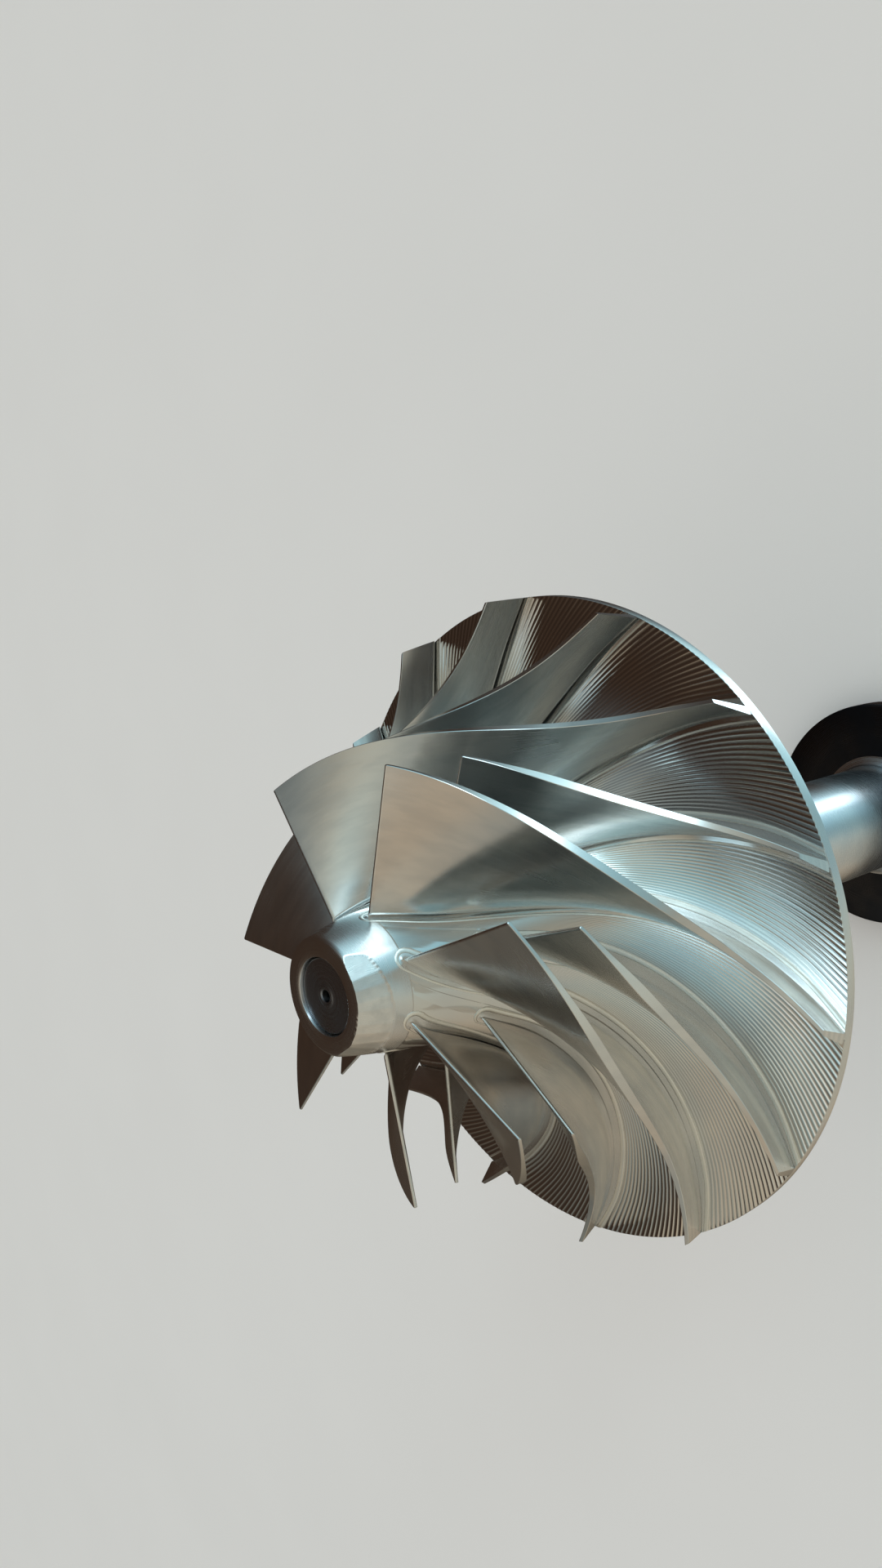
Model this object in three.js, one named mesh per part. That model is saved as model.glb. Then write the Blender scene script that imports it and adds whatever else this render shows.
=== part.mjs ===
// A centrifugal compressor impeller on its shaft. A turned hub with a thin disc carries seven main
// blades and seven splitter blades, and the shaft runs through it and back to a round collar.
// Millimetres, with +Z up along the shaft towards the nose. The part stands on the collar.

import * as THREE from "three";

// Driving dimensions of the disc and its place on the shaft
const RIM_RADIUS = 90;
const RIM_THICKNESS = 3.1;
const RIM_HEIGHT = 179;

// The hub's flow surface in the meridional plane, as radius and height above the rim's front edge
const HUB_INLET = new THREE.Vector2(17.4, 67.4);
const HUB_INLET_HANDLE = new THREE.Vector2(19.8, 52.5);
const HUB_EXIT_HANDLE = new THREE.Vector2(26, 0);
const HUB_EXIT = new THREE.Vector2(89.6, 0);

// The blades' tip line in the same plane
const TIP_INLET = new THREE.Vector2(56.7, 67.3);
const TIP_INLET_HANDLE = new THREE.Vector2(59.3, 41.7);
const TIP_EXIT_HANDLE = new THREE.Vector2(57.2, 13.4);
const TIP_EXIT = new THREE.Vector2(89.6, 9.65);

// Blades: how far they wrap round the axis, as degrees at the exit and the first three powers of
// the share of the way back to the inlet
const BLADE_PAIRS = 7;
const HUB_WRAP = [0, 87.9, -44.9, 45.3];
const TIP_WRAP = [3, 46, -6.2, 42.2];
const SPLITTER_START_AT_HUB = 0.29;
const SPLITTER_START_AT_TIP = 0.24;
const INLET_EDGE_THICKNESS = 1.2;
const TIP_THICKNESS = 2.6;
const ROOT_THICKNESS = 3.2;
const EXIT_TIP_THICKNESS = 1.1;
const EXIT_ROOT_THICKNESS = 2.2;
const THICKEST_SHARE = 0.25;
const ROOT_FILLET = 2;
const FILLET_MIDDLE = 1 - Math.SQRT1_2;
const MAIN_STATIONS = 20;
const SPLITTER_STATIONS = 15;

// The nose ahead of the blades, and the bore
const NOSE_HEIGHT = 81;
const NOSE_RADIUS = 14.9;
const NOSE_ROUNDING = 0.8;
const BORE_RADIUS = 9.7;
const BORE_CHAMFER = 0.5;

// The back of the disc and its boss
const BACK_ROOT_RADIUS = 34;
const BACK_ROOT_DEPTH = 12;
const BOSS_RADIUS = 27;
const BOSS_BLEND_DEPTH = 16;
const BOSS_DEPTH = 26;

// The shaft and its collar
const SHAFT_RADIUS = 18.5;
const SHAFT_CHAMFER = 1;
const SHAFT_END_RECESS = 1;
const SPIGOT_RADIUS = 9.4;
const SPIGOT_RECESS = 0.8;
const SPIGOT_CHAMFER = 0.4;
const CENTRE_MOUTH_RADIUS = 2.2;
const CENTRE_DRILL_RADIUS = 1;
const CENTRE_DRILL_DEPTH = 5;
const COLLAR_RADIUS = 41;
const COLLAR_THICKNESS = 10;
const COLLAR_CHAMFER = 0.8;
const COLLAR_BORE_RADIUS = 18.8;
const SHOULDER_RADIUS = 22;
const SHOULDER_FILLET = 3.5;

// Clearance between a piece and what it is seated on
const SEAT_GAP = 0.3;

// The step along a curve over which its direction is measured
const SMALL_SHARE = 0.005;

// Faces round each turned piece
const DISC_FACETS = 72;
const SHAFT_FACETS = 48;

const steel = (color, roughness) =>
  new THREE.MeshStandardMaterial({ color, roughness, metalness: 1 });
const MILLED_STEEL = steel(0xb4b8ba, 0.32);
const TURNED_STEEL = steel(0xa9adb0, 0.28);
const DARK_STEEL = steel(0x3d444c, 0.4);

const hubLine = new THREE.CubicBezierCurve(HUB_INLET, HUB_INLET_HANDLE, HUB_EXIT_HANDLE, HUB_EXIT);
const tipLine = new THREE.CubicBezierCurve(TIP_INLET, TIP_INLET_HANDLE, TIP_EXIT_HANDLE, TIP_EXIT);

const point = (radius, height) => new THREE.Vector2(radius, height);

// A quarter round between two corners of a turned profile, bulging or hollow, given by its centre
function quarterRound(centre, radius, from, to, steps) {
  return Array.from({ length: steps + 1 }, (_, i) => {
    const angle = THREE.MathUtils.degToRad(from + ((to - from) * i) / steps);
    return point(centre.x + radius * Math.cos(angle), centre.y + radius * Math.sin(angle));
  });
}

// A turned piece from a profile of radius and height, in order up the inside and down the outside
function turned(name, profile, facets, material) {
  const geometry = new THREE.LatheGeometry(profile, facets);
  geometry.rotateX(Math.PI / 2);
  const mesh = new THREE.Mesh(geometry, material);
  mesh.name = name;
  return mesh;
}

// The impeller's hub: bore, nose, flow surface, rim, back face and boss
function impellerHub() {
  const flow = Array.from({ length: MAIN_STATIONS }, (_, i) =>
    hubLine.getPoint(i / (MAIN_STATIONS - 1)),
  );
  const noseCorner = point(NOSE_RADIUS - NOSE_ROUNDING, NOSE_HEIGHT - NOSE_ROUNDING);
  const profile = [
    point(BORE_RADIUS, -BOSS_DEPTH + BORE_CHAMFER),
    point(BORE_RADIUS, NOSE_HEIGHT - BORE_CHAMFER),
    point(BORE_RADIUS + BORE_CHAMFER, NOSE_HEIGHT),
    ...quarterRound(noseCorner, NOSE_ROUNDING, 90, 0, 3),
    ...flow,
    point(RIM_RADIUS, HUB_EXIT.y),
    point(RIM_RADIUS, -RIM_THICKNESS),
    point(BACK_ROOT_RADIUS, -BACK_ROOT_DEPTH),
    point(BOSS_RADIUS, -BOSS_BLEND_DEPTH),
    point(BOSS_RADIUS, -BOSS_DEPTH),
    point(BORE_RADIUS + BORE_CHAMFER, -BOSS_DEPTH),
    point(BORE_RADIUS, -BOSS_DEPTH + BORE_CHAMFER),
  ];
  const mesh = turned("impeller_hub", profile.reverse(), DISC_FACETS, MILLED_STEEL);
  mesh.position.z = RIM_HEIGHT;
  return mesh;
}

// The share of the way from inlet to exit, turned into an angle round the axis
function wrapAngle(wrap, share) {
  const back = 1 - share;
  return THREE.MathUtils.degToRad(wrap[0] + back * (wrap[1] + back * (wrap[2] + back * wrap[3])));
}

const onCylinder = (radius, angle, height) =>
  new THREE.Vector3(radius * Math.cos(angle), radius * Math.sin(angle), height);

// A point of the blade's middle surface on the hub and one on the tip line
function hubPoint(share) {
  const p = hubLine.getPoint(share);
  return onCylinder(p.x, wrapAngle(HUB_WRAP, share), p.y);
}

function tipPoint(share) {
  const p = tipLine.getPoint(share);
  return onCylinder(p.x, wrapAngle(TIP_WRAP, share), p.y);
}

// A point lifted off the hub's flow surface and stepped sideways from the blade's root line
function rootPoint(share, sideways, direction, lift) {
  const slope = hubLine.getTangent(share);
  const angle = wrapAngle(HUB_WRAP, share);
  const radius = hubLine.getPoint(share).x;
  const meridional = new THREE.Vector3(
    slope.x * Math.cos(angle),
    slope.x * Math.sin(angle),
    slope.y,
  );
  const along = direction.dot(meridional);
  const round = direction.dot(new THREE.Vector3(-Math.sin(angle), Math.cos(angle), 0));
  const level = 1 / Math.hypot(along, round);
  const ahead = hubLine.getPoint(share + SMALL_SHARE);
  const pace = ahead.distanceTo(hubLine.getPoint(share - SMALL_SHARE)) / (2 * SMALL_SHARE);
  const moved = THREE.MathUtils.clamp(share + (sideways * along * level) / pace, 0, 1);
  const p = hubLine.getPoint(moved);
  const t = hubLine.getTangent(moved);
  const turn = angle + (sideways * round * level) / radius;
  return onCylinder(p.x - t.y * lift, turn, p.y + t.x * lift);
}

// Slides a point along the blade to the exit radius, as the blade ends are turned with the rim
function trimmedToExit(p, direction) {
  const a = direction.x ** 2 + direction.y ** 2;
  const b = p.x * direction.x + p.y * direction.y;
  const c = p.x ** 2 + p.y ** 2 - HUB_EXIT.x ** 2;
  return p.clone().addScaledVector(direction, (Math.sqrt(b * b - a * c) - b) / a);
}

// One column of a blade, as a closed ring of points: up one face, over the tip, down the other face
// and back across the root
function bladeColumn(hubShare, tipShare, rootThickness, tipThickness) {
  const root = hubPoint(hubShare);
  const tip = tipPoint(tipShare);
  const span = tip.clone().sub(root);
  const along = hubPoint(hubShare + SMALL_SHARE).sub(hubPoint(hubShare - SMALL_SHARE));
  along.add(tipPoint(tipShare + SMALL_SHARE)).sub(tipPoint(tipShare - SMALL_SHARE));
  const across = along.clone().cross(span).normalize();
  const rise = span.clone().normalize();
  const rootHalf = rootThickness / 2;
  const tipHalf = tipThickness / 2;
  const middle = ROOT_FILLET * FILLET_MIDDLE;
  const faceAt = (height, half, side) =>
    root.clone().addScaledVector(rise, height).addScaledVector(across, half * side);
  const [low, high] = [-1, 1].map((side) => [
    rootPoint(hubShare, side * (rootHalf + ROOT_FILLET), across, SEAT_GAP),
    rootPoint(hubShare, side * (rootHalf + middle), across, SEAT_GAP + middle),
    faceAt(SEAT_GAP + ROOT_FILLET, rootHalf, side),
    tip.clone().addScaledVector(across, tipHalf * side),
  ]);
  const ring = [...low, ...high.reverse(), rootPoint(hubShare, 0, across, SEAT_GAP)];
  return hubShare < 1 ? ring : ring.map((p) => trimmedToExit(p, along));
}

// A blade is thin at its inlet edge, thickest some way along and thinner again towards the exit
function thicknessAt(share, greatest, exit) {
  if (share < THICKEST_SHARE) {
    const grown = THREE.MathUtils.smoothstep(share, 0, THICKEST_SHARE);
    return THREE.MathUtils.lerp(INLET_EDGE_THICKNESS, greatest, grown);
  }
  return THREE.MathUtils.mapLinear(share, THICKEST_SHARE, 1, greatest, exit);
}

// A blade as one closed shell: two faces, the tip strip, the root strip and the two end edges
function blade(name, startAtHub, startAtTip, stations, angle, material) {
  const shareAt = (start, step) => THREE.MathUtils.lerp(start, 1, step / (stations - 1));
  const columns = Array.from({ length: stations }, (_, i) => {
    const share = i / (stations - 1);
    const rootThickness = thicknessAt(share, ROOT_THICKNESS, EXIT_ROOT_THICKNESS);
    const tipThickness = thicknessAt(share, TIP_THICKNESS, EXIT_TIP_THICKNESS);
    return bladeColumn(shareAt(startAtHub, i), shareAt(startAtTip, i), rootThickness, tipThickness);
  });
  const ring = columns[0].length;
  const positions = columns.flat().flatMap((p) => [p.x, p.y, p.z]);
  const faces = [];
  for (let c = 0; c < stations - 1; c++) {
    for (let r = 0; r < ring; r++) {
      const next = (r + 1) % ring;
      const [a, b] = [c * ring + r, c * ring + next];
      const [d, e] = [a + ring, b + ring];
      faces.push(a, b, d, b, e, d);
    }
  }
  const last = (stations - 1) * ring;
  const middle = ring - 1;
  for (let r = 0; r < middle / 2 - 1; r++) {
    const [a, b, c, d] = [r, r + 1, middle - 2 - r, middle - 1 - r];
    faces.push(a, c, b, a, d, c);
    faces.push(last + a, last + b, last + c, last + a, last + c, last + d);
  }
  faces.push(0, middle, middle - 1);
  faces.push(last, last + middle - 1, last + middle);
  const geometry = new THREE.BufferGeometry();
  geometry.setAttribute("position", new THREE.Float32BufferAttribute(positions, 3));
  geometry.setIndex(faces);
  geometry.computeVertexNormals();
  const mesh = new THREE.Mesh(geometry, material);
  mesh.name = name;
  mesh.rotation.z = angle;
  mesh.position.z = RIM_HEIGHT;
  return mesh;
}

// The shaft, from its end under the collar to the centre-drilled end of its spigot in the nose
function shaft() {
  const shoulderTop = RIM_HEIGHT - BOSS_DEPTH - SEAT_GAP;
  const shoulderFoot = COLLAR_THICKNESS + SEAT_GAP;
  const end = RIM_HEIGHT + NOSE_HEIGHT - SPIGOT_RECESS;
  const countersink = (CENTRE_MOUTH_RADIUS - CENTRE_DRILL_RADIUS) * Math.sqrt(3);
  const filletCentre = point(SHAFT_RADIUS + SHOULDER_FILLET, shoulderFoot + SHOULDER_FILLET);
  const profile = [
    point(0, SHAFT_END_RECESS),
    point(SHAFT_RADIUS - SHAFT_CHAMFER, SHAFT_END_RECESS),
    point(SHAFT_RADIUS, SHAFT_END_RECESS + SHAFT_CHAMFER),
    point(SHAFT_RADIUS, shoulderFoot),
    point(SHOULDER_RADIUS, shoulderFoot),
    ...quarterRound(filletCentre, SHOULDER_FILLET, 270, 180, 4).slice(1),
    point(SHAFT_RADIUS, shoulderTop - SHAFT_CHAMFER),
    point(SHAFT_RADIUS - SHAFT_CHAMFER, shoulderTop),
    point(SPIGOT_RADIUS, shoulderTop),
    point(SPIGOT_RADIUS, end - SPIGOT_CHAMFER),
    point(SPIGOT_RADIUS - SPIGOT_CHAMFER, end),
    point(CENTRE_MOUTH_RADIUS, end),
    point(CENTRE_DRILL_RADIUS, end - countersink),
    point(CENTRE_DRILL_RADIUS, end - CENTRE_DRILL_DEPTH),
    point(0, end - CENTRE_DRILL_DEPTH - CENTRE_DRILL_RADIUS / 2),
  ];
  return turned("shaft", profile, SHAFT_FACETS, TURNED_STEEL);
}

// The collar on the shaft, whose flat underside the part stands on
function shaftCollar() {
  const profile = [
    point(COLLAR_BORE_RADIUS, 0),
    point(COLLAR_RADIUS - COLLAR_CHAMFER, 0),
    point(COLLAR_RADIUS, COLLAR_CHAMFER),
    point(COLLAR_RADIUS, COLLAR_THICKNESS - COLLAR_CHAMFER),
    point(COLLAR_RADIUS - COLLAR_CHAMFER, COLLAR_THICKNESS),
    point(COLLAR_BORE_RADIUS, COLLAR_THICKNESS),
    point(COLLAR_BORE_RADIUS, 0),
  ];
  return turned("shaft_collar", profile, DISC_FACETS, DARK_STEEL);
}

const impeller = new THREE.Group();
impeller.add(impellerHub(), shaft(), shaftCollar());
const pitch = (2 * Math.PI) / BLADE_PAIRS;
for (let i = 0; i < BLADE_PAIRS; i++) {
  impeller.add(
    blade(`main_blade_${i + 1}`, 0, 0, MAIN_STATIONS, i * pitch, MILLED_STEEL),
    blade(
      `splitter_blade_${i + 1}`,
      SPLITTER_START_AT_HUB,
      SPLITTER_START_AT_TIP,
      SPLITTER_STATIONS,
      (i + 0.5) * pitch,
      MILLED_STEEL,
    ),
  );
}

export default impeller;
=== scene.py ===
# Looks of a centrifugal compressor impeller on its shaft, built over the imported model.
# Shapes are worked out in millimetres in the model's frame, and made in metres.

import math

import bpy
import numpy as np
from mathutils import Matrix, Vector


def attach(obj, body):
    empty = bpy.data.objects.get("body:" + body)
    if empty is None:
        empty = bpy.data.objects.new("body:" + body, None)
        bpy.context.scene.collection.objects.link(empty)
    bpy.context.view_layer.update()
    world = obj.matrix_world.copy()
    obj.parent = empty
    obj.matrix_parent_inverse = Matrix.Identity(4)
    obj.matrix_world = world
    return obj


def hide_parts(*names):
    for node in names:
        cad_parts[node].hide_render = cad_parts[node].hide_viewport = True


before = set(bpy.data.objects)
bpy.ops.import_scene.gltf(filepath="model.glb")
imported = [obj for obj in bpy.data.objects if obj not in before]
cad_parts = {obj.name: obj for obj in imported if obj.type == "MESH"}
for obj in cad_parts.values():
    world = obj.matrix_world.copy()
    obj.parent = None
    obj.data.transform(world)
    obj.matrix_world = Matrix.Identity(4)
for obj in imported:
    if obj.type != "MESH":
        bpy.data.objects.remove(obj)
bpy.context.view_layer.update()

# Dimensions shared with the solids
RIM_RADIUS = 90.0
RIM_THICKNESS = 3.1
RIM_HEIGHT = 179.0
HUB_LINE = np.array([(17.4, 67.4), (19.8, 52.5), (26.0, 0.0), (89.6, 0.0)])
TIP_LINE = np.array([(56.7, 67.3), (59.3, 41.7), (57.2, 13.4), (89.6, 9.65)])
BLADE_PAIRS = 7
HUB_WRAP = (0.0, 87.9, -44.9, 45.3)
TIP_WRAP = (3.0, 46.0, -6.2, 42.2)
SPLITTER_START_AT_HUB = 0.29
SPLITTER_START_AT_TIP = 0.24
THICKEST_SHARE = 0.25
NOSE_HEIGHT = 81.0
NOSE_RADIUS = 14.9
BORE_RADIUS = 9.7
BACK_ROOT_RADIUS = 34.0
BACK_ROOT_DEPTH = 12.0
BOSS_RADIUS = 27.0
BOSS_DEPTH = 26.0
SHAFT_RADIUS = 18.5
SPIGOT_RADIUS = 9.4
COLLAR_RADIUS = 41.0
COLLAR_THICKNESS = 10.0
COLLAR_BORE_RADIUS = 18.8
SHOULDER_RADIUS = 22.0
SHOULDER_FILLET = 3.5
PITCH = 2 * math.pi / BLADE_PAIRS
SMALL_STEP = 0.002

# Finer shapes than the solids have
EXIT_RADIUS = 89.96
INLET_SHARE = 0.004
ROOT_THICKNESS = (1.3, 3.1, 2.2)
TIP_THICKNESS = (0.95, 2.6, 1.05)
INLET_ROUNDING = 1.3
FOOT_ROUNDING = 1.1
FILLET = 1.25
FILLET_LEAN = 0.25
FILLET_MOST_RISE = 0.3
EXIT_NARROWING = 0.6
NARROWS_OVER = (0.92, 1.0)
SPLITTER_WIDENING = 1.2
WIDENS_OVER = (0.3, 0.55)
WIDENING_ENDS_OVER = (0.6, 0.95)
BEAD_WIDTH = 1.4
BEAD_HEIGHT = 0.27
BEAD_FLATNESS = 0.45
BEAD_COVER = 1.1
BEAD_LEAN = 0.3
BEAD_FACES = 12
BEAD_SUNK = 0.12
TIP_BEVEL = 0.12
NOSE_TAPER = 0.161
NOSE_CURVE = 0.0031
NOSE_ROUNDING = 1.3
SCALLOPS = 19
FACES_PER_SCALLOP = 8
CUTTER_RADIUS = 1.8
SCALLOPS_GROW_OVER = (0.3, 0.56)
SCALLOP_SHARP_ANGLE = 11
SMOOTHER_PASSAGE = 3
SMOOTHER_BY = 0.7
GROOVE_WIDTH = 0.7
GROOVE_DEPTH = 0.11
MOST_COVERED = 0.38
MOST_GROOVED = 0.44
RIM_DROP = 0.12
HOLE_RADIUS = 1.4
TURNED_SHARP_ANGLE = 35
BLADE_SHARP_ANGLE = 40


def bezier(points, t):
    t = np.asarray(t, float)[..., None]
    u = 1 - t
    return u**3 * points[0] + 3 * u * u * t * points[1] + 3 * u * t * t * points[2] + t**3 * points[3]


def bezier_slope(points, t):
    t = np.asarray(t, float)[..., None]
    u = 1 - t
    a, b, c = points[1] - points[0], points[2] - points[1], points[3] - points[2]
    return 3 * (u * u * a + 2 * u * t * b + t * t * c)


def wrap(coefficients, share):
    """The angle round the axis, from coefficients in the share left to the exit."""
    back = 1 - np.asarray(share, float)
    return np.radians(sum(c * back**i for i, c in enumerate(coefficients)))


def on_cylinder(radius, angle, height):
    return np.stack([radius * np.cos(angle), radius * np.sin(angle), height + 0 * angle], axis=-1)


def unit(v):
    return v / np.maximum(np.linalg.norm(v, axis=-1, keepdims=True), 1e-12)


def smooth(x, low, high):
    t = np.clip((x - low) / (high - low), 0, 1)
    return t * t * (3 - 2 * t)


def turned_by(points, angle):
    c, s = math.cos(angle), math.sin(angle)
    return points @ np.array([[c, s, 0], [-s, c, 0], [0, 0, 1]])


def mesh_object(name, points, faces, uv, sharp_angle):
    """A mesh from points in millimetres, smooth apart from edges of more than an angle in degrees."""
    mesh = bpy.data.meshes.new(name)
    mesh.from_pydata((points / 1000).tolist(), [], faces)
    mesh.validate()
    layer = mesh.uv_layers.new(name="UVMap")
    index = np.zeros(len(mesh.loops), int)
    mesh.loops.foreach_get("vertex_index", index)
    layer.data.foreach_set("uv", uv[index].astype(np.float32).ravel())
    mesh.shade_smooth()
    mesh.set_sharp_from_angle(angle=math.radians(sharp_angle))
    obj = bpy.data.objects.new(name, mesh)
    bpy.context.scene.collection.objects.link(obj)
    return obj


def grid_faces(rows, columns, closed):
    """Quads over a grid of rows and columns, joined round the columns when closed."""
    wide = columns if closed else columns - 1
    r, c = np.meshgrid(np.arange(rows - 1), np.arange(wide), indexing="ij")
    n = (c + 1) % columns
    low, high = r * columns, (r + 1) * columns
    return np.stack([low + c, low + n, high + n, high + c], axis=-1).reshape(-1, 4).tolist()


def lengths_along(line):
    """How far along a line each of its points lies."""
    steps = np.linalg.norm(np.diff(line, axis=0), axis=1)
    return np.concatenate([[0], np.cumsum(steps)])


def revolved(name, profile, segments, shaped=None):
    """A turned skin from a profile of radius and height, which may be shaped further."""
    profile = np.array(profile, float)
    angle = np.linspace(0, 2 * math.pi, segments, endpoint=False)
    r = np.repeat(profile[:, 0], segments)
    z = np.repeat(profile[:, 1], segments)
    a = np.tile(angle, len(profile))
    points = on_cylinder(r, a, z)
    if shaped is not None:
        points = shaped(points)
    uv = np.stack([a * profile[:, 0].max(), np.repeat(lengths_along(profile), segments)], axis=-1)
    return mesh_object(name, points, grid_faces(len(profile), segments, True), uv, TURNED_SHARP_ANGLE)


def arc(centre, radius, start, end, steps):
    """Points of a round in a turned profile, from one angle to another in degrees."""
    a = np.radians(np.linspace(start, end, steps + 1))
    return [(centre[0] + radius * math.cos(t), centre[1] + radius * math.sin(t)) for t in a]


# The hub's surface, carried on over the nose ahead of the blades
def nose_narrowing(ahead):
    """How much less the nose's radius is than the hub's at the blades' inlet, at a distance ahead of it."""
    return NOSE_TAPER * ahead + NOSE_CURVE * ahead**2


def hub_profile(share):
    share = np.asarray(share, float)
    inside = bezier(HUB_LINE, np.maximum(share, 0))
    ahead = np.maximum(-share, 0) * -3 * (HUB_LINE[1] - HUB_LINE[0])[1]
    return np.stack([inside[..., 0] - nose_narrowing(ahead), inside[..., 1] + ahead], axis=-1)


def root_line(share):
    p = hub_profile(share)
    return on_cylinder(p[..., 0], wrap(HUB_WRAP, share), p[..., 1])


def tip_line(share):
    p = bezier(TIP_LINE, share)
    return on_cylinder(p[..., 0], wrap(TIP_WRAP, share), p[..., 1])


def direction(line, share):
    return unit(line(share + SMALL_STEP) - line(share - SMALL_STEP))


def swing(share):
    """How far the root line runs round the axis for each millimetre along the flow."""
    turned = (wrap(HUB_WRAP, share + SMALL_STEP) - wrap(HUB_WRAP, share - SMALL_STEP)) / (2 * SMALL_STEP)
    pace = np.linalg.norm(bezier_slope(HUB_LINE, share), axis=-1)
    return turned * bezier(HUB_LINE, share)[..., 0] / pace


def hub_offset(share, side, ahead, lift):
    """A point on the hub, stepped sideways and ahead of the root line by some millimetres."""
    pace = np.linalg.norm(bezier_slope(HUB_LINE, share), axis=-1)
    slant = swing(share)
    level = 1 / np.sqrt(1 + slant**2)
    step_down = level * (-slant * side - ahead)
    step_round = level * (side - slant * ahead)
    moved = share + step_down / pace
    p = hub_profile(moved)
    slope = unit(bezier_slope(HUB_LINE, np.maximum(moved, 0)))
    radius = p[..., 0] - slope[..., 1] * lift
    angle = wrap(HUB_WRAP, share) + step_round / bezier(HUB_LINE, share)[..., 0]
    return on_cylinder(radius, angle, p[..., 1] + slope[..., 0] * lift)


# Blades
MAIN_COLUMNS = 72
SPLITTER_COLUMNS = 56
EDGE_COLUMNS = 7
ROOT_LEVEL = -4.0
TIP_LEVEL = 30.0


def half_thickness(u, thickness):
    """Half of a blade's thickness against the share from its inlet edge."""
    inlet, greatest, exit_edge = thickness
    grown = smooth(u, 0.0, THICKEST_SHARE)
    past = np.maximum(u - THICKEST_SHARE, 0) / (1 - THICKEST_SHARE)
    return (inlet + (greatest - inlet) * grown - (greatest - exit_edge) * past) / 2


def fillet_reach(side, share, splitter):
    """The fillet's reach, greater on the side that faces the next blade, and there narrower at the rim.
    On that side a splitter's fillet widens about its middle."""
    facing = np.clip(side, 0, 1)
    narrowed = EXIT_NARROWING * facing * smooth(share, *NARROWS_OVER)
    middle = smooth(share, *WIDENS_OVER) * (1 - smooth(share, *WIDENING_ENDS_OVER))
    widened = SPLITTER_WIDENING * splitter * facing * middle
    return FILLET * (1 + FILLET_LEAN * side) * (1 - narrowed) + widened


def bead_share(side):
    """The bead's size against the full one, less on the side that faces away from the next blade."""
    return 1 - BEAD_LEAN + BEAD_LEAN * side


class Blade:
    """The surfaces of one kind of blade, by where along the flow it starts."""

    def __init__(self, start_hub, start_tip):
        self.start_hub = start_hub
        self.start_tip = start_tip
        self.splitter = start_hub == SPLITTER_START_AT_HUB

    def shares(self, u):
        return self.start_hub + (1 - self.start_hub) * u, self.start_tip + (1 - self.start_tip) * u

    def height(self, u):
        at_hub, at_tip = self.shares(u)
        return np.linalg.norm(tip_line(at_tip) - root_line(at_hub), axis=1)

    def reach(self, u, side):
        return fillet_reach(side, self.shares(u)[0], self.splitter)

    def rise(self, u, side):
        """The share of the height that the fillet takes."""
        return np.minimum(self.reach(u, side) / self.height(u), FILLET_MOST_RISE)

    def over_fillet(self, u, side, v):
        """The share of the height for a share of what stands above the fillet."""
        low = self.rise(u, side)
        return low + (1 - low) * v

    def face(self, u, side, ahead, v, trim=0.0):
        """A point of the surface at a share of the length and of the height."""
        at_hub, at_tip = self.shares(u)
        root, tip = root_line(at_hub), tip_line(at_tip)
        run = unit(direction(root_line, at_hub) + direction(tip_line, at_tip))
        across = unit(np.cross(run, tip - root))
        v = v + 0 * u
        half = half_thickness(u, ROOT_THICKNESS) * (1 - v) + half_thickness(u, TIP_THICKNESS) * v - trim
        sideways = across * (half * side)[:, None]
        forward = run * (half * INLET_ROUNDING * ahead)[:, None]
        return root + (tip - root) * v[:, None] + sideways - forward

    def foot(self, u, side, ahead, reach, lift):
        """A point on the hub at some reach from the blade's face, raised by the lift."""
        half = half_thickness(u, ROOT_THICKNESS) + reach
        return hub_offset(self.shares(u)[0], half * side, half * FOOT_ROUNDING * ahead, lift)

    def fillet(self, u, side, ahead, t):
        """A point of the root fillet, from its top to the hub."""
        top = self.face(u, side, ahead, self.rise(u, side))
        corner = self.face(u, side, ahead, 0.0)
        bottom = self.foot(u, side, ahead, self.reach(u, side), 0.0)
        return (1 - t) ** 2 * top + 2 * t * (1 - t) * corner + t * t * bottom

    def bead(self, u, side, ahead, t):
        """A point of the rounded bead between the fillet and the floor, under which its foot ends."""
        share = bead_share(side)
        start = self.reach(u, side)
        lift = BEAD_HEIGHT * max(math.sin(math.pi * t), 0) ** BEAD_FLATNESS if t < 1 else -BEAD_SUNK
        return self.foot(u, side, ahead, start + BEAD_WIDTH * t * share, lift * share)

    def rings(self):
        """The rings from the bead's outer foot to the tip, each with its level on the UV map."""
        made = []
        for t in (1 + np.cos(np.linspace(0, math.pi, BEAD_FACES + 1)[:-1])) / 2:
            made.append((ROOT_LEVEL - t, lambda u, s, a, t=t: self.bead(u, s, a, t)))
        for t in np.linspace(1, 0, 9):
            made.append((ROOT_LEVEL * t, lambda u, s, a, t=t: self.fillet(u, s, a, t)))
        for v in np.linspace(0, 1, 9)[1:-1]:
            made.append((TIP_LEVEL * v, lambda u, s, a, v=v: self.face(u, s, a, self.over_fillet(u, s, v))))
        made.append((TIP_LEVEL - 0.2, lambda u, s, a: self.face(u, s, a, 1 - TIP_BEVEL / self.height(u))))
        made.append((TIP_LEVEL, lambda u, s, a: self.face(u, s, a, 1.0, TIP_BEVEL)))
        return made


def exit_share(ring, side):
    """The share at which a ring reaches the exit radius, where blades and rim are turned together."""
    probe = np.linspace(0.94, 1.08, 60)
    far = ring(probe, side + 0 * probe, 0 * probe)
    return np.interp(EXIT_RADIUS, np.hypot(far[:, 0], far[:, 1]), probe)


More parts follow.
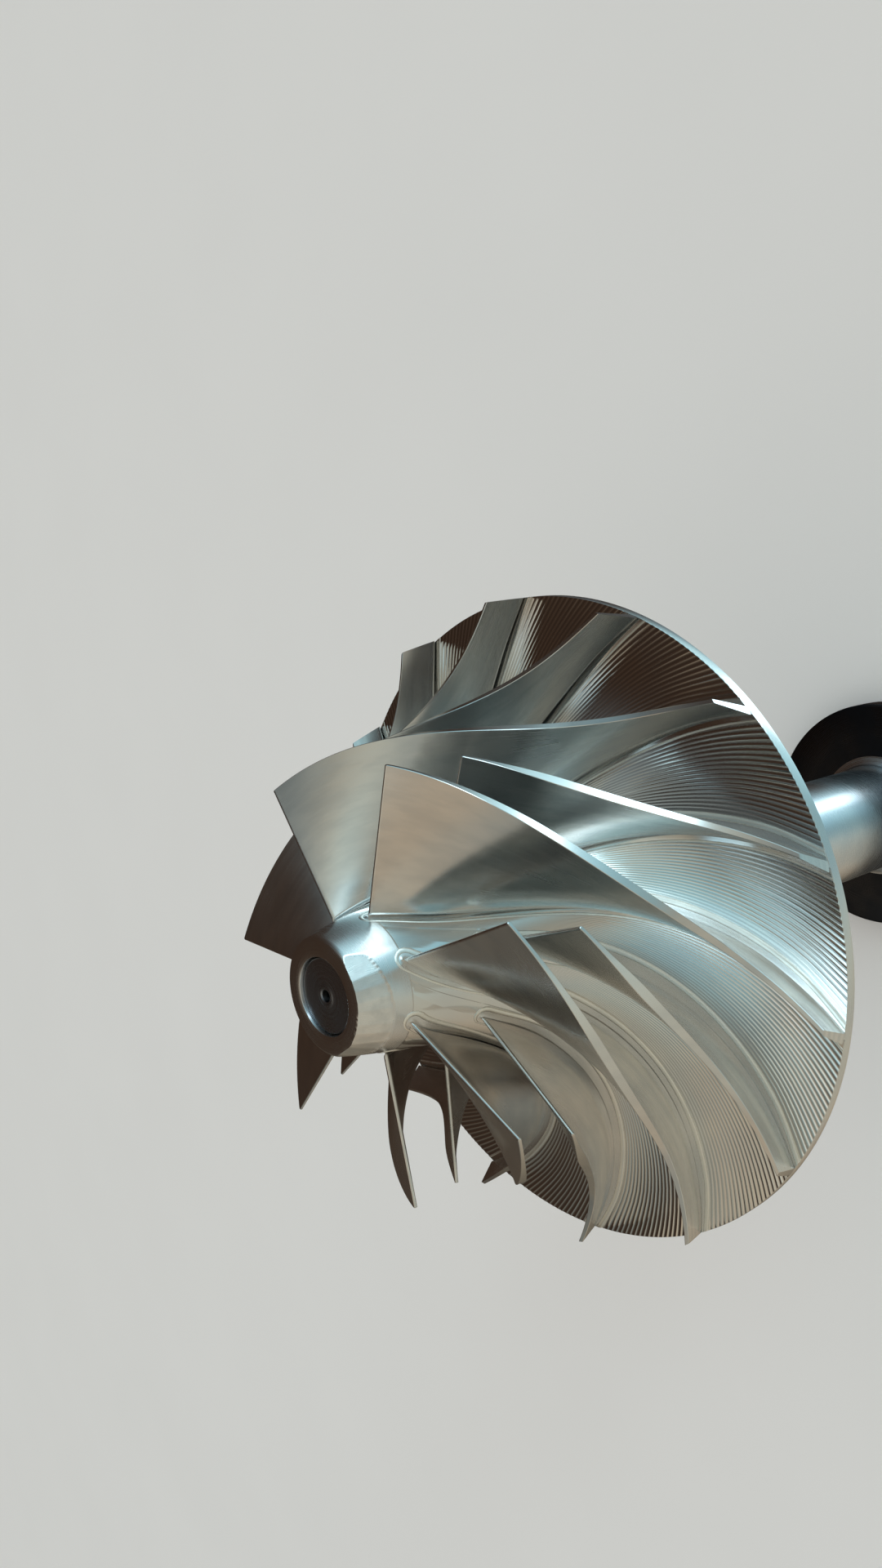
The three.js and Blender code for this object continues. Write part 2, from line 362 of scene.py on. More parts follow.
def blade_grid(form, columns):
    """The points of all the rings, with the UV map that goes with them."""
    edge = np.radians(np.linspace(-90, 90, EDGE_COLUMNS + 2)[1:-1])
    along = np.linspace(0, 1, columns) ** 1.15
    place = np.concatenate([along[::-1], 0 * edge, along])
    side = np.concatenate([-np.ones(columns), np.sin(edge), np.ones(columns)])
    ahead = np.concatenate([np.zeros(columns), np.cos(edge), np.zeros(columns)])
    span = np.linalg.norm(tip_line(np.array([form.start_tip])) - tip_line(np.array([1.0])))
    grid, uv = [], []
    for level, ring in form.rings():
        reach = np.where(side < 0, exit_share(ring, -1.0), exit_share(ring, 1.0))
        grid.append(ring(place * reach, side, ahead))
        uv.append(np.stack([place * span + side, level + 0 * place], axis=-1))
    return np.array(grid), np.array(uv)


def blade_faces(rows, count):
    """Faces of the two sides, the tip, the underside and the exit edge."""
    faces = grid_faces(rows, count, False)
    last = (rows - 1) * count
    for i in range(count // 2):
        j = count - 1 - i
        if j - i > 1:
            faces.append([last + i + 1, last + i, last + j, last + j - 1])
            faces.append([i, i + 1, j - 1, j])
    for r in range(rows - 1):
        a, b = r * count, (r + 1) * count
        faces.append([a, b, b + count - 1, a + count - 1])
    return [list(dict.fromkeys(f)) for f in faces]


def blade(name, start_hub, start_tip, columns, angle):
    """One blade with its root fillet, its rounded inlet edge and its bead, which has the second material."""
    grid, uv = blade_grid(Blade(start_hub, start_tip), columns)
    rows, count = grid.shape[:2]
    grid[:, :, 2] += RIM_HEIGHT
    points = turned_by(grid.reshape(-1, 3), angle)
    made = mesh_object(name, points, blade_faces(rows, count), uv.reshape(-1, 2), BLADE_SHARP_ANGLE)
    for face in made.data.polygons[:BEAD_FACES * (count - 1)]:
        face.material_index = 1
    return made


# The floor of each passage, milled in scallops that follow the flow
def scallop_spacing():
    """Where the points of the scallops lie, and how near a crest each is: 1 on it, 0 in the hollow."""
    steps = SCALLOPS * FACES_PER_SCALLOP
    place = np.linspace(0, SCALLOPS, steps + 1) % 1
    return np.linspace(0, 1, steps + 1), np.abs(2 * place - 1)


def scallop_strengths(index):
    """How high the crests beside each scallop stand against the others, less near the smoother passage."""
    random = np.random.default_rng(60 + index)
    steps = SCALLOPS * FACES_PER_SCALLOP
    which = np.minimum(np.arange(steps + 1) // FACES_PER_SCALLOP, SCALLOPS - 1)
    away = (index - SMOOTHER_PASSAGE) * PITCH / 2
    strength = random.uniform(0.88, 1.12, SCALLOPS)[which] * (1 - SMOOTHER_BY * max(0.0, math.cos(away)))
    strength[0] = strength[-1] = 0
    return strength


def covered_shares(index, share, width):
    """Shares of a passage's width under the two blades' feet, and where its groove ends."""
    half = half_thickness(np.clip(share, 0, 1), ROOT_THICKNESS)
    splitter = index % 2
    feet = [half + fillet_reach(side, share, splitter) + BEAD_COVER * bead_share(side) for side in (1, -1)]
    near, far = [np.minimum(foot / width, MOST_COVERED) for foot in feet]
    groove_end = np.minimum(near + GROOVE_WIDTH / width, MOST_GROOVED)
    return near[:, None], far[:, None], groove_end[:, None]


def passage_floor(index):
    """One passage's floor: under the first blade's foot, its groove, the scallops, the second foot."""
    share = np.concatenate([np.linspace(0, 0.985, 54), [0.993, 1.0, 1.0015, 1.0019]])
    flow = bezier(HUB_LINE, share)
    slope = unit(bezier_slope(HUB_LINE, share))
    width = PITCH / 2 * flow[:, 0] / np.sqrt(1 + swing(share) ** 2)
    near, far, start = covered_shares(index, share, width)
    inner, crest = scallop_spacing()
    groove = start - near
    left = [0 * near, near * 0.6, near, near + groove * 0.3, near + groove * 0.65]
    middle = start + (1 - start - far) * inner
    across = np.concatenate([*left, middle, 1 - far * 0.6, 1 - 0 * far], axis=1)
    grooved, scalloped = slice(2, len(left)), slice(len(left), -2)

    grown = smooth(share, *SCALLOPS_GROW_OVER)[:, None]
    spacing = width[:, None] * (1 - start - far) / SCALLOPS
    crest_height = spacing**2 / (8 * CUTTER_RADIUS) * grown
    crest_height[-1] = 0
    lift = np.zeros(across.shape)
    lift[:, grooved] = -GROOVE_DEPTH
    lift[:, scalloped] = crest_height * crest**2 * scallop_strengths(index)
    angle = wrap(HUB_WRAP, share)[:, None] + (index + across) * PITCH / 2
    level = flow[:, 1:2] + slope[:, 0:1] * lift + RIM_HEIGHT
    level[-1] -= RIM_DROP
    points = on_cylinder(flow[:, 0:1] - slope[:, 1:2] * lift, angle, level).reshape(-1, 3)

    length = lengths_along(flow)[:, None] + 0 * across
    uv = np.stack([across * width[:, None], length], axis=-1).reshape(-1, 2)
    faces = grid_faces(*across.shape, False)
    made = mesh_object(f"hub_floor_{index + 1}", points, faces, uv, SCALLOP_SHARP_ANGLE)
    # How near a crest each point is, which the floor's material reads for its painted shade in the hollows
    crests = np.full(across.shape, 0.5)
    crests[:, scalloped] += grown * (crest - 0.5)
    made.data.attributes.new("crest", "FLOAT", "POINT").data.foreach_set("value", crests.ravel())
    return made


# The nose, with the narrow flats that were ground on it in balancing
FLATS_FROM, FLATS_TO, FLATS_COUNT = -50.0, 44.0, 9
FLATS_REACH = 20
FLATS_FOOT = 72.4
FLATS_ARC = 0.0008
FLATS_ARC_MIDDLE = -10
FLATS_DEPTH = 0.22
FLATS_SLOPE = 0.09
GROUND_REACH = 62
GROUND_LEAST_DEPTH = 0.12


def ground_nose(points):
    """Cuts the flats, which start in a shallow arc and deepen towards the front edge."""
    random = np.random.default_rng(7)
    radius = np.hypot(points[:, 0], points[:, 1])
    angle = np.arctan2(points[:, 1], points[:, 0])
    height = points[:, 2] - RIM_HEIGHT
    full = HUB_LINE[0][0] - nose_narrowing(height - HUB_LINE[0][1])
    above = height - FLATS_FOOT - FLATS_ARC * (np.degrees(angle) - FLATS_ARC_MIDDLE) ** 2
    cut = radius.copy()
    for facing in np.linspace(FLATS_FROM, FLATS_TO, FLATS_COUNT):
        away = angle - math.radians(facing)
        depth = FLATS_DEPTH * random.uniform(0.7, 1.3) + FLATS_SLOPE * random.uniform(0.8, 1.2) * above
        near = (np.abs(away) < math.radians(FLATS_REACH)) & (above > 0) & (radius > BORE_RADIUS + 1.2)
        flat = (full - depth) / np.cos(np.where(near, away, 0))
        cut = np.where(near, np.minimum(cut, flat), cut)
    scale = cut / radius
    return points * np.stack([scale, scale, 1 + 0 * scale], axis=-1)


def mark_ground(piece):
    """Gives the ground patch its own material, the second of the nose."""
    for face in piece.data.polygons:
        x, y, z = face.center * 1000
        radius = math.hypot(x, y)
        full = HUB_LINE[0][0] - nose_narrowing(z - RIM_HEIGHT - HUB_LINE[0][1])
        on_side = radius > BORE_RADIUS + 2 and face.normal.z < 0.8
        within = abs(math.atan2(y, x)) < math.radians(GROUND_REACH)
        if on_side and within and radius < full - GROUND_LEAST_DEPTH:
            face.material_index = 1


def nose_and_bore():
    """The nose from the blades' inlet to its tip, and the bore down to the boss."""
    top = RIM_HEIGHT + NOSE_HEIGHT
    foot = hub_profile(0.0)
    profile = [(foot[0] - 0.4, foot[1] - 1 + RIM_HEIGHT)]
    for height in np.linspace(foot[1], NOSE_HEIGHT - NOSE_ROUNDING, 36):
        profile.append((foot[0] - nose_narrowing(height - foot[1]), height + RIM_HEIGHT))
    profile += arc((NOSE_RADIUS - NOSE_ROUNDING, top - NOSE_ROUNDING), NOSE_ROUNDING, 0, 90, 8)[1:]
    profile += [(12.6, top), (11.6, top), (BORE_RADIUS + 0.3, top), (BORE_RADIUS + 0.1, top - 0.1)]
    profile += [(BORE_RADIUS, top - 0.4), (BORE_RADIUS, RIM_HEIGHT - BOSS_DEPTH + 0.5)]
    profile += [(BORE_RADIUS + 0.5, RIM_HEIGHT - BOSS_DEPTH)]
    made = revolved("hub_nose", profile, 288, shaped=ground_nose)
    mark_ground(made)
    return made


def rim_and_back():
    """The rim, the back of the disc and its boss, all turned."""
    h = RIM_HEIGHT
    foot = h - RIM_THICKNESS
    profile = [(EXIT_RADIUS - 0.6, h - 0.3), (EXIT_RADIUS - 0.01, h - 0.12), (RIM_RADIUS, h - 0.2)]
    profile += [(RIM_RADIUS, foot + 0.2), (RIM_RADIUS - 0.15, foot)]
    for share in np.linspace(0.08, 0.92, 7):
        radius = RIM_RADIUS + (BACK_ROOT_RADIUS - RIM_RADIUS) * share
        profile.append((radius, foot - (BACK_ROOT_DEPTH - RIM_THICKNESS) * share))
    profile += arc((BOSS_RADIUS + 6, h - 18.0), 6.0, 88, 180, 10)
    profile += [(BOSS_RADIUS, h - BOSS_DEPTH + 0.6), (BOSS_RADIUS - 0.6, h - BOSS_DEPTH)]
    profile += [(BORE_RADIUS + 0.5, h - BOSS_DEPTH)]
    return revolved("hub_back", profile, 288)


def mark_end(piece):
    """Gives the centre hole and the end face their own materials, the shaft's second and third; the hole's
    is painted shade.
    """
    for face in piece.data.polygons:
        x, y, z = face.center * 1000
        if math.hypot(x, y) < HOLE_RADIUS + 0.1 and z > RIM_HEIGHT:
            face.material_index = 1
        elif z > RIM_HEIGHT + NOSE_HEIGHT - 1.6:
            face.material_index = 2


def shaft_skin():
    """The shaft with its shoulder, and the centre-drilled end of its spigot in the nose."""
    top = RIM_HEIGHT - BOSS_DEPTH - 0.3
    foot = COLLAR_THICKNESS + 0.3
    end = RIM_HEIGHT + NOSE_HEIGHT - 0.8
    profile = [(0.02, 1.0), (SHAFT_RADIUS - 1, 1.0), (SHAFT_RADIUS, 2.0), (SHAFT_RADIUS, foot)]
    profile += [(SHOULDER_RADIUS, foot)]
    centre = (SHAFT_RADIUS + SHOULDER_FILLET, foot + SHOULDER_FILLET)
    profile += arc(centre, SHOULDER_FILLET, 270, 180, 10)[1:]
    profile += [(SHAFT_RADIUS, z) for z in np.linspace(30, top - 1.2, 6)]
    profile += [(SHAFT_RADIUS - 0.3, top - 0.5), (SHAFT_RADIUS - 1, top), (SPIGOT_RADIUS, top)]
    profile += [(SPIGOT_RADIUS, end - 0.6), (SPIGOT_RADIUS - 0.1, end - 0.2), (SPIGOT_RADIUS - 0.35, end)]
    profile += [(5.0, end), (3.5, end), (2.8, end + 0.05), (2.5, end + 0.16), (2.0, end + 0.14)]
    profile += [(HOLE_RADIUS + 0.15, end - 0.05), (HOLE_RADIUS, end - 0.3), (HOLE_RADIUS - 0.1, end - 5.0)]
    profile += [(0.02, end - 5.6)]
    made = revolved("shaft_turned", profile, 192)
    mark_end(made)
    return made


def collar_skin():
    """The collar, with rounded outer edges."""
    edge = COLLAR_RADIUS - 1
    bore = COLLAR_BORE_RADIUS
    profile = [(bore, 0.0), (COLLAR_RADIUS - 1.4, 0.0)]
    profile += arc((edge, 1.0), 1.0, 270, 360, 4)
    profile += arc((edge, COLLAR_THICKNESS - 1), 1.0, 0, 90, 4)
    profile += [(30.0, COLLAR_THICKNESS), (bore + 0.6, COLLAR_THICKNESS)]
    profile += [(bore, COLLAR_THICKNESS - 0.5), (bore, 0.0)]
    return revolved("collar_turned", profile, 192)


# Tones of the materials, each pair for a pattern's low and high parts
BLADE_TONES = ((0.83, 0.815, 0.79), (0.735, 0.735, 0.725))
# Lighter tones for the beads: a painted highlight
BEAD_HIGHLIGHT_TONES = ((0.99, 0.965, 0.90), (0.95, 0.93, 0.875))
FLOOR_TONES = ((0.92, 0.91, 0.875), (0.84, 0.845, 0.84))
# Painted shade in the scallops' hollows: its tone, and the share of the floor's own tone left in the deepest
# hollow
HOLLOW_SHADE_TONE = (0.28, 0.27, 0.26)
HOLLOW_UNSHADED_SHARE = 0.58
HUB_TONES = ((0.79, 0.775, 0.75), (0.72, 0.725, 0.73))
GROUND_TONES = ((0.86, 0.85, 0.83), (0.74, 0.74, 0.73))
SHAFT_TONES = ((0.76, 0.765, 0.77), (0.68, 0.71, 0.74))
SHAFT_END_TONES = ((0.40, 0.43, 0.48), (0.33, 0.37, 0.43))
# Near black for the centre hole: painted shade
HOLE_SHADE_TONES = ((0.02, 0.02, 0.024), (0.05, 0.048, 0.05))
# Near-black tones for the collar: dark steel, darkened further with painted shade
COLLAR_DARK_AND_SHADE_TONES = ((0.07, 0.072, 0.08), (0.045, 0.052, 0.065))
PAPER_TONES = ((0.86, 0.85, 0.83), (0.83, 0.82, 0.80))


# Node helpers
def node(tree, kind, **settings):
    made = tree.nodes.new(kind)
    for key, value in settings.items():
        setattr(made, key, value)
    return made


def feed(tree, socket, value):
    """Links a socket to another, or sets it."""
    if isinstance(value, bpy.types.NodeSocket):
        tree.links.new(value, socket)
    else:
        socket.default_value = value


def worked_out(tree, operation, *values):
    """The result of a math operation on sockets or numbers."""
    made = node(tree, "ShaderNodeMath", operation=operation)
    for socket, value in zip(made.inputs, values):
        feed(tree, socket, value)
    return made.outputs[0]


def ranged(tree, value, low, high, to_low, to_high):
    """A value carried over smoothly from one range to another, and held at its ends."""
    made = node(tree, "ShaderNodeMapRange", interpolation_type="SMOOTHSTEP")
    for name, number in (("From Min", low), ("From Max", high), ("To Min", to_low), ("To Max", to_high)):
        made.inputs[name].default_value = number
    feed(tree, made.inputs["Value"], value)
    return made.outputs["Result"]


def blended(tree, factor, first, second):
    """A colour between two, which are sockets or three numbers each."""
    made = node(tree, "ShaderNodeMix", data_type="RGBA")
    feed(tree, made.inputs["Factor"], factor)
    for socket, color in ((made.inputs[6], first), (made.inputs[7], second)):
        feed(tree, socket, color if isinstance(color, bpy.types.NodeSocket) else (*color, 1))
    return made.outputs[2]


def clouded(tree, vector, stretch, scale, detail=3.0):
    """Noise stretched along the axes, from 0 to 1."""
    mapping = node(tree, "ShaderNodeMapping")
    mapping.inputs["Scale"].default_value = stretch
    feed(tree, mapping.inputs["Vector"], vector)
    noise = node(tree, "ShaderNodeTexNoise")
    noise.inputs["Scale"].default_value = scale
    noise.inputs["Detail"].default_value = detail
    tree.links.new(mapping.outputs[0], noise.inputs["Vector"])
    return noise.outputs["Fac"]


def turned_place(tree):
    """Distance from the axis and height in millimetres, so that noise over them makes turned rings."""
    place = node(tree, "ShaderNodeTexCoord").outputs["Object"]
    parts = node(tree, "ShaderNodeSeparateXYZ")
    tree.links.new(place, parts.inputs[0])
    x, y, z = parts.outputs
    squares = worked_out(tree, "ADD", worked_out(tree, "MULTIPLY", x, x), worked_out(tree, "MULTIPLY", y, y))
    radius = worked_out(tree, "MULTIPLY", worked_out(tree, "SQRT", squares), 1000.0)
    joined = node(tree, "ShaderNodeCombineXYZ")
    feed(tree, joined.inputs[0], radius)
    feed(tree, joined.inputs[1], worked_out(tree, "MULTIPLY", z, 1000.0))
    return joined.outputs[0]


def roughened(tree, shader, fine, coarse, smoothest, fine_change, coarse_change):
    """Roughness from its smoothest, raised where the fine and the coarse pattern are high."""
    fine_part = ranged(tree, fine, 0.3, 0.7, smoothest, smoothest + fine_change)
    coarse_part = ranged(tree, coarse, 0.3, 0.7, 0.0, coarse_change)
    tree.links.new(worked_out(tree, "ADD", fine_part, coarse_part), shader.inputs["Roughness"])


def toned(tree, pattern, tones):
    """A colour that goes from the first of two tones to the second with a pattern."""
    return blended(tree, ranged(tree, pattern, 0.35, 0.65, 0.0, 1.0), *tones)


def bumped(tree, height, depth):
    """The normal over a pattern taken as a relief, with its depth in metres."""
    made = node(tree, "ShaderNodeBump")
    made.inputs["Distance"].default_value = depth
    made.inputs["Strength"].default_value = 1.0
    feed(tree, made.inputs["Height"], height)
    return made.outputs["Normal"]


def metal(name):
    """A new metal, with its node tree and its shader."""
    made = bpy.data.materials.new(name)
    made.use_nodes = True
    shader = made.node_tree.nodes["Principled BSDF"]
    shader.inputs["Metallic"].default_value = 1.0
    return made, made.node_tree, shader


def blade_steel():
    """Flank-milled steel: soft long streaks along the blade, smears and cloudy patches."""
    made, tree, shader = metal("blade_steel")
    flat = node(tree, "ShaderNodeUVMap").outputs["UV"]
    place = node(tree, "ShaderNodeTexCoord").outputs["Object"]
    streaks = clouded(tree, flat, (0.02, 2.4, 1), 1.0)
    clouds = clouded(tree, place, (1, 1, 1), 45.0, 2.0)
    smears = clouded(tree, flat, (0.08, 0.26, 1), 1.0, 4.0)
    feed(tree, shader.inputs["Base Color"], toned(tree, smears, BLADE_TONES))
    roughened(tree, shader, streaks, clouds, 0.19, 0.04, 0.05)
    tree.links.new(bumped(tree, streaks, 0.0000022), shader.inputs["Normal"])
    return made


def bead_highlight_steel():
    """The beads beside the roots, in a lighter tone that is a painted highlight along them."""
    made, tree, shader = metal("bead_highlight_steel")
    place = node(tree, "ShaderNodeTexCoord").outputs["Object"]
    clouds = clouded(tree, place, (1, 1, 1), 120.0, 2.0)
    feed(tree, shader.inputs["Base Color"], toned(tree, clouds, BEAD_HIGHLIGHT_TONES))
    roughened(tree, shader, clouds, clouds, 0.34, 0.04, 0.04)
    return made


def milled_steel():
    """The passage floors: fine cutter lines along the flow over the scallops, and painted shade that darkens
    the floor, most in the scallops' hollows.
    """
    made, tree, shader = metal("milled_floor_steel")
    flat = node(tree, "ShaderNodeUVMap").outputs["UV"]
    place = node(tree, "ShaderNodeTexCoord").outputs["Object"]
    lines = clouded(tree, flat, (2.2, 0.05, 1), 1.0)
    clouds = clouded(tree, place, (1, 1, 1), 60.0, 2.0)
    crest = node(tree, "ShaderNodeAttribute", attribute_name="crest").outputs["Fac"]
    # Painted shade: darker towards the scallops' hollows
    unshaded_share = ranged(tree, crest, 0.2, 0.8, HOLLOW_UNSHADED_SHARE, 1.0)
    color = blended(tree, unshaded_share, HOLLOW_SHADE_TONE, toned(tree, clouds, FLOOR_TONES))
    feed(tree, shader.inputs["Base Color"], color)
    roughened(tree, shader, lines, clouds, 0.07, 0.03, 0.03)
    tree.links.new(bumped(tree, lines, 0.000004), shader.inputs["Normal"])
    return made


def turned_steel(name, tones, smoothest, depth):
    """Turned steel: rings round the axis, with a slow change of tone."""
    made, tree, shader = metal(name)
    rings = clouded(tree, turned_place(tree), (1, 1, 1), 4.0, 4.0)
    clouds = clouded(tree, node(tree, "ShaderNodeTexCoord").outputs["Object"], (1, 1, 1), 70.0, 3.0)
    feed(tree, shader.inputs["Base Color"], toned(tree, clouds, tones))
    roughened(tree, shader, rings, clouds, smoothest, 0.08, 0.07)
    tree.links.new(bumped(tree, rings, depth), shader.inputs["Normal"])
    return made


def ground_steel():
    """The hand-ground patch: brighter and rougher, with fine scratches across it."""
    made, tree, shader = metal("ground_steel")
    place = node(tree, "ShaderNodeTexCoord").outputs["Object"]
    flat = node(tree, "ShaderNodeUVMap").outputs["UV"]
    scratches = clouded(tree, flat, (1.3, 0.12, 1), 3.0, 4.0)
    clouds = clouded(tree, place, (1, 1, 1), 260.0, 3.0)
    feed(tree, shader.inputs["Base Color"], toned(tree, clouds, GROUND_TONES))
    roughened(tree, shader, scratches, clouds, 0.24, 0.10, 0.10)
    tree.links.new(bumped(tree, scratches, 0.00002), shader.inputs["Normal"])
    return made


def hole_painted_shade():
    """The inside of the centre hole, painted near black as the shade in it."""
    made, tree, shader = metal("hole_painted_shade")
    place = node(tree, "ShaderNodeTexCoord").outputs["Object"]
    shade_mottle = clouded(tree, place, (1, 1, 1), 900.0, 3.0)
    feed(tree, shader.inputs["Base Color"], toned(tree, shade_mottle, HOLE_SHADE_TONES))
    roughened(tree, shader, shade_mottle, shade_mottle, 0.45, 0.1, 0.1)
    return made


def floor_paper():
    """The pale, dull floor, with faint clouds."""
    made, tree, shader = metal("floor_paper")
    shader.inputs["Metallic"].default_value = 0.0
    shader.inputs["Roughness"].default_value = 0.85
    place = node(tree, "ShaderNodeTexCoord").outputs["Object"]
    clouds = clouded(tree, place, (1, 1, 1), 9.0, 2.0)
    feed(tree, shader.inputs["Base Color"], blended(tree, clouds, *PAPER_TONES))
    return made


def dress(piece, replaced, slot, finish, *further):
    """Gives a piece its materials and ties it to the node that it stands for."""
    piece.data.materials.append(finish)
    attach(piece, "root")
    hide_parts(replaced)
    for material in further:
        piece.data.materials.append(material)


# The pieces
floor_steel = milled_steel()
blade_finishes = (blade_steel(), bead_highlight_steel())
hub_steel = turned_steel("hub_turned_steel", HUB_TONES, 0.16, 0.000004)
shaft_steel = turned_steel("shaft_turned_steel", SHAFT_TONES, 0.18, 0.000004)
shaft_end_steel = turned_steel("shaft_end_steel", SHAFT_END_TONES, 0.20, 0.000004)
# The collar's near-black tone is dark steel with painted shade
collar_steel = turned_steel("collar_dark_and_shaded_steel", COLLAR_DARK_AND_SHADE_TONES, 0.22, 0.000005)
for i in range(2 * BLADE_PAIRS):
    dress(passage_floor(i), "impeller_hub", "milled_steel", floor_steel)
dress(nose_and_bore(), "impeller_hub", "milled_steel", hub_steel, ground_steel())
dress(rim_and_back(), "impeller_hub", "milled_steel", hub_steel)
dress(shaft_skin(), "shaft", "turned_steel", shaft_steel, hole_painted_shade(), shaft_end_steel)
dress(collar_skin(), "shaft_collar", "dark_steel", collar_steel)
for i in range(BLADE_PAIRS):
    main = blade(f"main_blade_skin_{i + 1}", INLET_SHARE, INLET_SHARE, MAIN_COLUMNS, i * PITCH)
    dress(main, f"main_blade_{i + 1}", "milled_steel", *blade_finishes)
    start = (SPLITTER_START_AT_HUB, SPLITTER_START_AT_TIP)
    splitter = blade(f"splitter_blade_skin_{i + 1}", *start, SPLITTER_COLUMNS, (i + 0.5) * PITCH)
    dress(splitter, f"splitter_blade_{i + 1}", "milled_steel", *blade_finishes)

# The pale floor
FLOOR_REACH = 6.0


def pale_floor():
    corners = [(-FLOOR_REACH, -FLOOR_REACH, 0), (FLOOR_REACH, -FLOOR_REACH, 0)]
    corners += [(FLOOR_REACH, FLOOR_REACH, 0), (-FLOOR_REACH, FLOOR_REACH, 0)]
    mesh = bpy.data.meshes.new("floor")
    mesh.from_pydata(corners, [], [(0, 1, 2, 3)])
    mesh.materials.append(floor_paper())
    made = bpy.data.objects.new("floor", mesh)
    made.visible_glossy = False
    made.visible_shadow = False
    bpy.context.scene.collection.objects.link(made)
    return made


# The camera, at the photograph's viewing angle
CAMERA_PLACE = (0.21877536, 0.12921559, 0.41856016)
CAMERA_RIGHT = (0.65747515, 0.02838216, -0.75294148)
CAMERA_DOWN = (0.22185284, -0.96228408, 0.15745052)
CAMERA_AHEAD = (-0.72007482, -0.27056201, -0.63897454)
SENSOR_WIDTH = 36
FOCAL_PIXELS = 1508.24
IMAGE_HEIGHT = 1920


def photo_camera():
    made = bpy.data.objects.new("camera", bpy.data.cameras.new("camera"))
    bpy.context.scene.collection.objects.link(made)
    columns = [Vector(CAMERA_RIGHT), -Vector(CAMERA_DOWN), -Vector(CAMERA_AHEAD)]
    made.matrix_world = Matrix.Translation(CAMERA_PLACE) @ Matrix(columns).transposed().to_4x4()
    made.data.sensor_width = SENSOR_WIDTH
    made.data.lens = SENSOR_WIDTH * FOCAL_PIXELS / IMAGE_HEIGHT
    made.data.clip_start = 0.01
    return made


# The studio's soft light as a dome: a cool window side, a dark side and a warm side
BRIGHTEST = 1.5
LIGHT_LEVEL = 0.77
NIGHT = (0.05, 0.03, 0.02)
SHADE = (0.15, 0.13, 0.10)
TEAL = (0.34, 0.54, 0.58)
GREY = (0.20, 0.23, 0.24)
SAND = (0.30, 0.26, 0.19)
WARM = (0.55, 0.45, 0.33)
LINEN = (0.74, 0.69, 0.57)
CREAM = (0.60, 0.58, 0.48)
PALE = (0.66, 0.76, 0.70)
MIST = (0.34, 0.40, 0.39)
BRIGHT = (0.56, 1.00, 1.14)
SKY = (0.72, 1.03, 1.14)
GLOW = (0.98, 0.95, 0.86)
WINDOW = (0.86, 1.36, 1.50)
BELOW = [(5, PALE), (22, TEAL), (38, TEAL), (53, BRIGHT), (70, WINDOW), (100, WINDOW), (118, GREY)]
BELOW += [(145, NIGHT), (215, NIGHT), (240, SHADE), (265, SAND), (285, WARM), (310, CREAM), (340, CREAM)]
LOW = [(10, CREAM), (32, SAND), (52, BRIGHT), (72, WINDOW), (92, BRIGHT), (108, GREY), (132, NIGHT)]
LOW += [(195, NIGHT), (229, NIGHT), (252, SHADE), (272, MIST), (290, WARM), (315, CREAM), (348, CREAM)]
HIGH = [(0, MIST), (20, CREAM), (42, PALE), (62, PALE), (82, CREAM), (110, MIST), (140, GREY)]
HIGH += [(162, NIGHT), (208, NIGHT), (226, WARM), (246, LINEN), (266, WARM), (312, WARM), (338, CREAM)]
TOP = [(0, CREAM), (75, CREAM), (120, SAND), (155, MIST), (175, SKY), (205, SKY), (240, GLOW)]
TOP += [(265, GLOW), (295, PALE)]
BANDS = [(BELOW, -8, 6), (LOW, 46, 55), (HIGH, 69, 76), (TOP, 90, 90)]
STRIP_LIGHT = (3.4, 4.3, 4.7)
STRIP_NORMAL = (-0.926, 0.334, 0.174)
STRIP_MIDDLE = (0.32, 0.93, -0.15)
STRIP_HALF_WIDTH = (4, 9)
STRIP_HALF_LENGTH = (50, 62)
STUDIO_WALL = (0.72, 0.71, 0.69)


def compass_ramp(tree, place, stops):
    """A ramp of colours round the compass, from stops in degrees."""
    made = node(tree, "ShaderNodeValToRGB")
    made.color_ramp.interpolation = "B_SPLINE"
    shares = sorted(((angle + 180) % 360 / 360, color) for angle, color in stops)
    last, first = shares[-1], shares[0]
    mixed = [(a + b) / 2 for a, b in zip(last[1], first[1])]
    shares = [(0.0, mixed), *[s for s in shares if s[0] > 0], (1.0, mixed)]
    ramp = made.color_ramp.elements
    while len(ramp) < len(shares):
        ramp.new(0.5)
    for element, (share, color) in zip(ramp, shares):
        element.position = share
        element.color = (*[c / BRIGHTEST for c in color], 1)
    tree.links.new(place, made.inputs[0])
    return made.outputs[0]


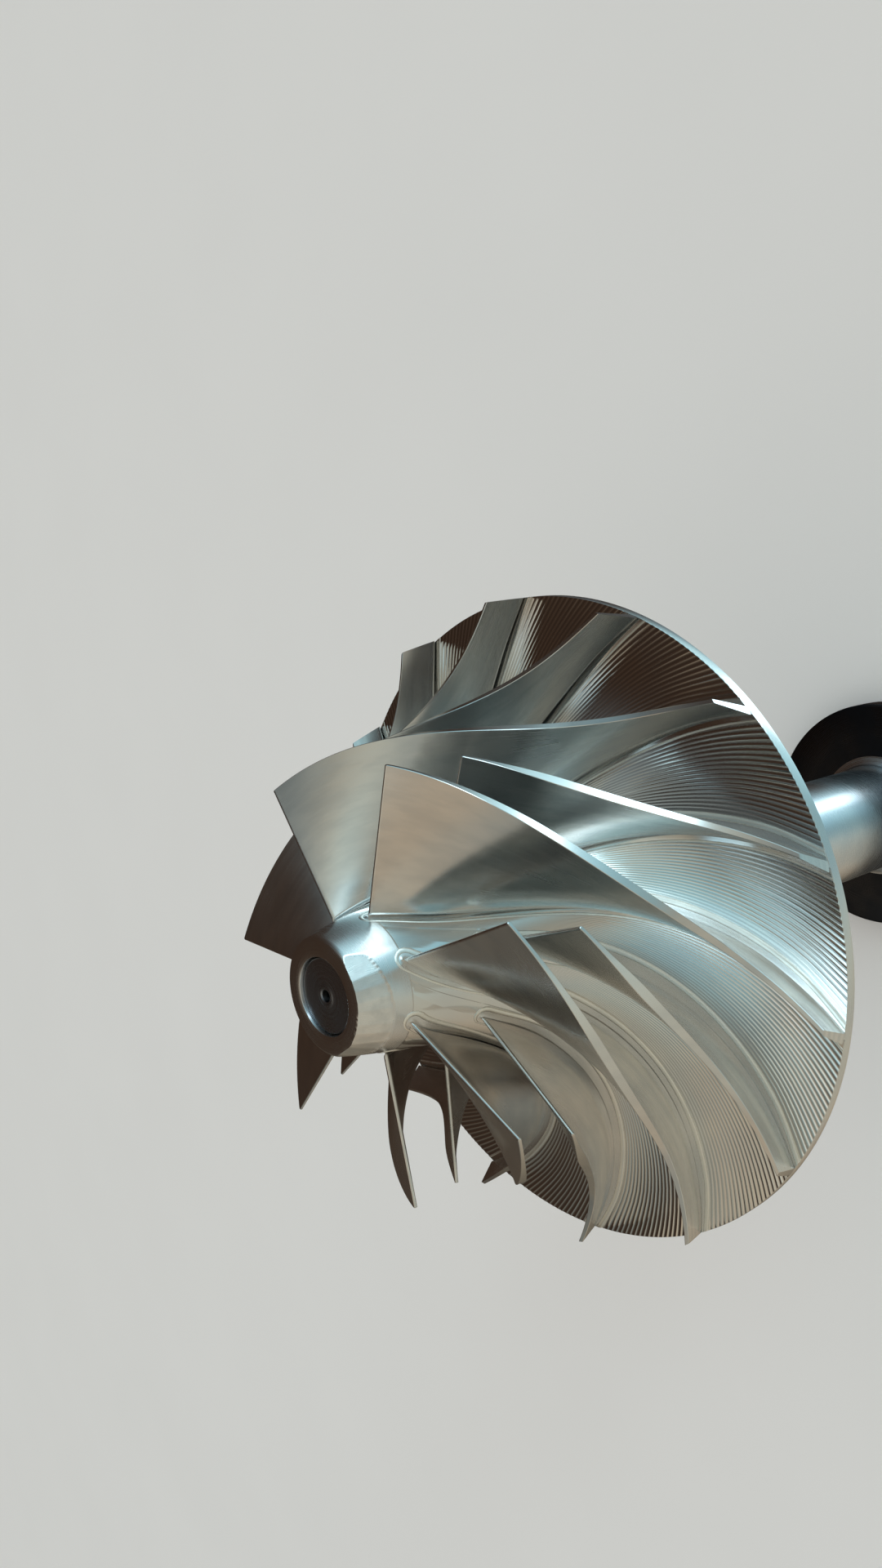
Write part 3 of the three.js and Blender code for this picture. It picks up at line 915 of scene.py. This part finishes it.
def toward(tree, look, direction_to):
    """How far the line of sight turns to a direction, as a cosine."""
    made = node(tree, "ShaderNodeVectorMath", operation="DOT_PRODUCT")
    made.inputs[1].default_value = direction_to
    tree.links.new(look, made.inputs[0])
    return made.outputs["Value"]


def strip_share(tree, look):
    """Where the long strip light shows: near its plane, and not too far from its middle."""
    off = worked_out(tree, "ABSOLUTE", toward(tree, look, STRIP_NORMAL))
    full_width, soft_width = [math.sin(math.radians(a)) for a in STRIP_HALF_WIDTH]
    beside = ranged(tree, off, full_width, soft_width, 1.0, 0.0)
    along = toward(tree, look, STRIP_MIDDLE)
    full_length, soft_length = [math.cos(math.radians(a)) for a in STRIP_HALF_LENGTH]
    within = ranged(tree, along, soft_length, full_length, 0.0, 1.0)
    return worked_out(tree, "MULTIPLY", beside, within)


def studio_world():
    """The dome as the metal mirrors it, and a plain wall for the camera and for dull surfaces."""
    world = bpy.data.worlds.new("studio")
    world.use_nodes = True
    tree = world.node_tree
    look = node(tree, "ShaderNodeTexCoord").outputs["Generated"]
    parts = node(tree, "ShaderNodeSeparateXYZ")
    tree.links.new(look, parts.inputs[0])
    x, y, z = parts.outputs
    compass = worked_out(tree, "MULTIPLY_ADD", worked_out(tree, "ARCTAN2", y, x), 0.5 / math.pi, 0.5)
    dome = compass_ramp(tree, compass, BANDS[0][0])
    for (_, start, end), (stops, _, _) in zip(BANDS, BANDS[1:]):
        share = ranged(tree, z, math.sin(math.radians(start)), math.sin(math.radians(end)), 0.0, 1.0)
        dome = blended(tree, share, dome, compass_ramp(tree, compass, stops))
    strip = blended(tree, strip_share(tree, look), dome, [c / BRIGHTEST for c in STRIP_LIGHT])
    path = node(tree, "ShaderNodeLightPath").outputs
    plain = worked_out(tree, "MAXIMUM", path["Is Camera Ray"], path["Is Diffuse Ray"])
    wall = [c / BRIGHTEST / LIGHT_LEVEL for c in STUDIO_WALL]
    background = tree.nodes["Background"]
    tree.links.new(blended(tree, plain, strip, wall), background.inputs["Color"])
    background.inputs["Strength"].default_value = BRIGHTEST * LIGHT_LEVEL
    return world


pale_floor()
bpy.context.scene.camera = photo_camera()
bpy.context.scene.world = studio_world()
bpy.context.scene.view_settings.view_transform = "Standard"
